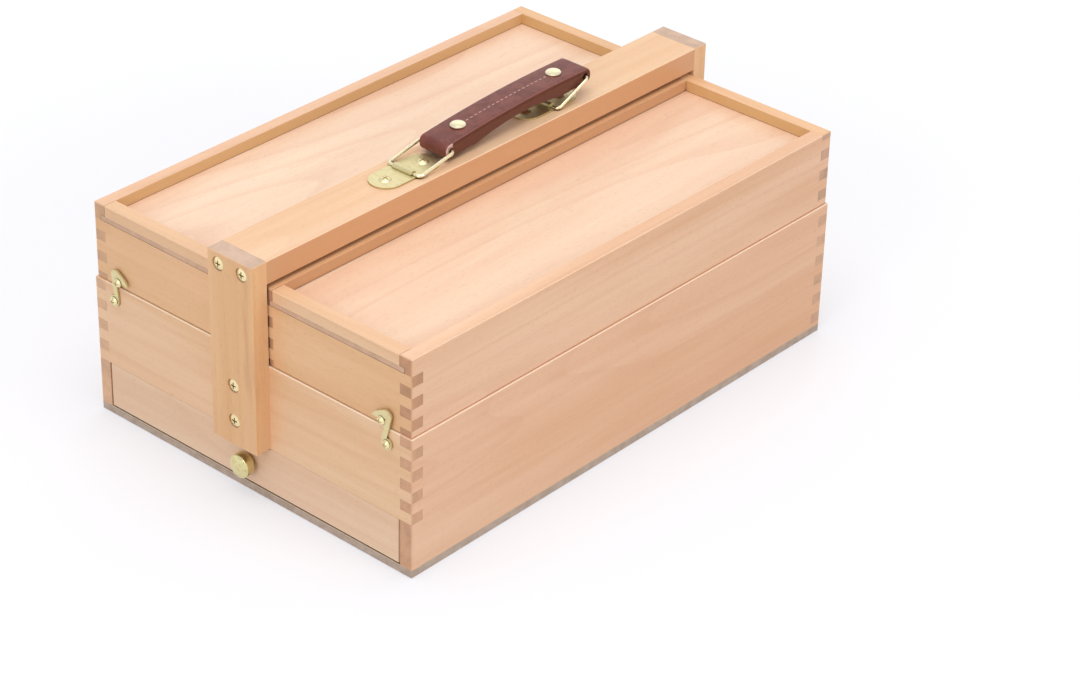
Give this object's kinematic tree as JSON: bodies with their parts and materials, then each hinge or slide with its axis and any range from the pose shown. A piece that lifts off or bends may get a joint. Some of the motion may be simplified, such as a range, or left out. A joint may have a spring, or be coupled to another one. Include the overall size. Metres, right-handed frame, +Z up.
{
  "type": "artist box with drawer and sliding trays",
  "caption": "Wooden artist box with finger-jointed corners, a drawer, two trays with sliding lids under a wooden yoke, brass hooks and a leather handle",
  "frame": {"origin": "Middle of the underside of the plywood bottom, on the table.", "axes": "+X to the right seen from the drawer end, +Y along the box away from the drawer, +Z up."},
  "size_m": [0.29, 0.446, 0.2022],
  "materials": {
    "beech": "planed and lacquered beech",
    "beech_light": "planed and lacquered pale beech",
    "plywood": "sanded plywood",
    "brass": "plain rolled and turned brass",
    "grip_leather": "glossy burgundy leather"
  },
  "bodies": {
    "base": {"base_side_left": "beech", "base_side_right": "beech", "base_end_front": "beech", "base_end_back": "beech", "base_bottom": "plywood", "compartment_floor": "plywood", "leg_front": "beech", "leg_back": "beech", "beam": "beech_light", "leg_screws": "brass", "beam_screws": "brass", "hook_screws": "brass", "handle_plate_front": "brass", "handle_plate_back": "brass", "handle_plate_screws": "brass"},
    "tray_left": {"tray_left_outer_side": "beech", "tray_left_inner_side": "beech", "tray_left_front": "beech", "tray_left_back": "beech", "tray_left_floor": "plywood", "tray_left_catch_screws": "brass"},
    "tray_right": {"tray_right_outer_side": "beech", "tray_right_inner_side": "beech", "tray_right_front": "beech", "tray_right_back": "beech", "tray_right_floor": "plywood", "tray_right_catch_screws": "brass"},
    "lid_left": {"lid_left_panel": "beech_light", "lid_left_batten": "beech_light"},
    "lid_right": {"lid_right_panel": "beech_light", "lid_right_batten": "beech_light"},
    "drawer": {"drawer_front": "beech_light", "drawer_side_left": "beech", "drawer_side_right": "beech", "drawer_back": "beech", "drawer_floor": "plywood", "drawer_knob": "brass", "knob_screw": "brass"},
    "hook_front_left": {"hook_front_left": "brass"},
    "hook_front_right": {"hook_front_right": "brass"},
    "hook_back_left": {"hook_back_left": "brass"},
    "hook_back_right": {"hook_back_right": "brass"},
    "loop_front": {"handle_loop_front": "brass"},
    "loop_back": {"handle_loop_back": "brass"},
    "grip": {"handle_grip": "grip_leather", "grip_rivets": "brass"}
  },
  "joints": [
    {"name": "tray_left_slide", "type": "slide", "parent": "base", "child": "tray_left", "axis": [-1, 0, 0], "range_m": [0, 0.13]},
    {"name": "tray_right_slide", "type": "slide", "parent": "base", "child": "tray_right", "axis": [1, 0, 0], "range_m": [0, 0.13]},
    {"name": "lid_left_slide", "type": "slide", "parent": "tray_left", "child": "lid_left", "axis": [0, -1, 0], "range_m": [0, 0.4]},
    {"name": "lid_right_slide", "type": "slide", "parent": "tray_right", "child": "lid_right", "axis": [0, -1, 0], "range_m": [0, 0.4]},
    {"name": "drawer_slide", "type": "slide", "parent": "base", "child": "drawer", "axis": [0, -1, 0], "range_m": [0, 0.36]},
    {"name": "hook_front_left_turn", "type": "hinge", "parent": "base", "child": "hook_front_left", "pos_m": [-0.125, -0.211, 0.093], "axis": [0, -1, 0], "range_deg": [0, 170]},
    {"name": "hook_front_right_turn", "type": "hinge", "parent": "base", "child": "hook_front_right", "pos_m": [0.125, -0.211, 0.093], "axis": [0, 1, 0], "range_deg": [-6, 164]},
    {"name": "hook_back_left_turn", "type": "hinge", "parent": "base", "child": "hook_back_left", "pos_m": [-0.125, 0.211, 0.093], "axis": [0, -1, 0], "range_deg": [0, 170]},
    {"name": "hook_back_right_turn", "type": "hinge", "parent": "base", "child": "hook_back_right", "pos_m": [0.125, 0.211, 0.093], "axis": [0, 1, 0], "range_deg": [0, 170]},
    {"name": "loop_front_turn", "type": "hinge", "parent": "base", "child": "loop_front", "pos_m": [0, -0.066, 0.18155], "axis": [1, 0, 0], "range_deg": [0, 146]},
    {"name": "loop_back_turn", "type": "hinge", "parent": "base", "child": "loop_back", "pos_m": [0, 0.07, 0.18155], "axis": [1, 0, 0], "range_deg": [0, 146]},
    {"name": "grip_turn", "type": "hinge", "parent": "loop_front", "child": "grip", "pos_m": [0, -0.03361, 0.18785], "axis": [1, 0, 0], "range_deg": [-151.65, 0]}
  ],
  "couplings": [
    {"joint": "loop_back_turn", "follows": "loop_front_turn", "ratio": 1},
    {"joint": "grip_turn", "follows": "loop_front_turn", "ratio": -1.0386}
  ]
}
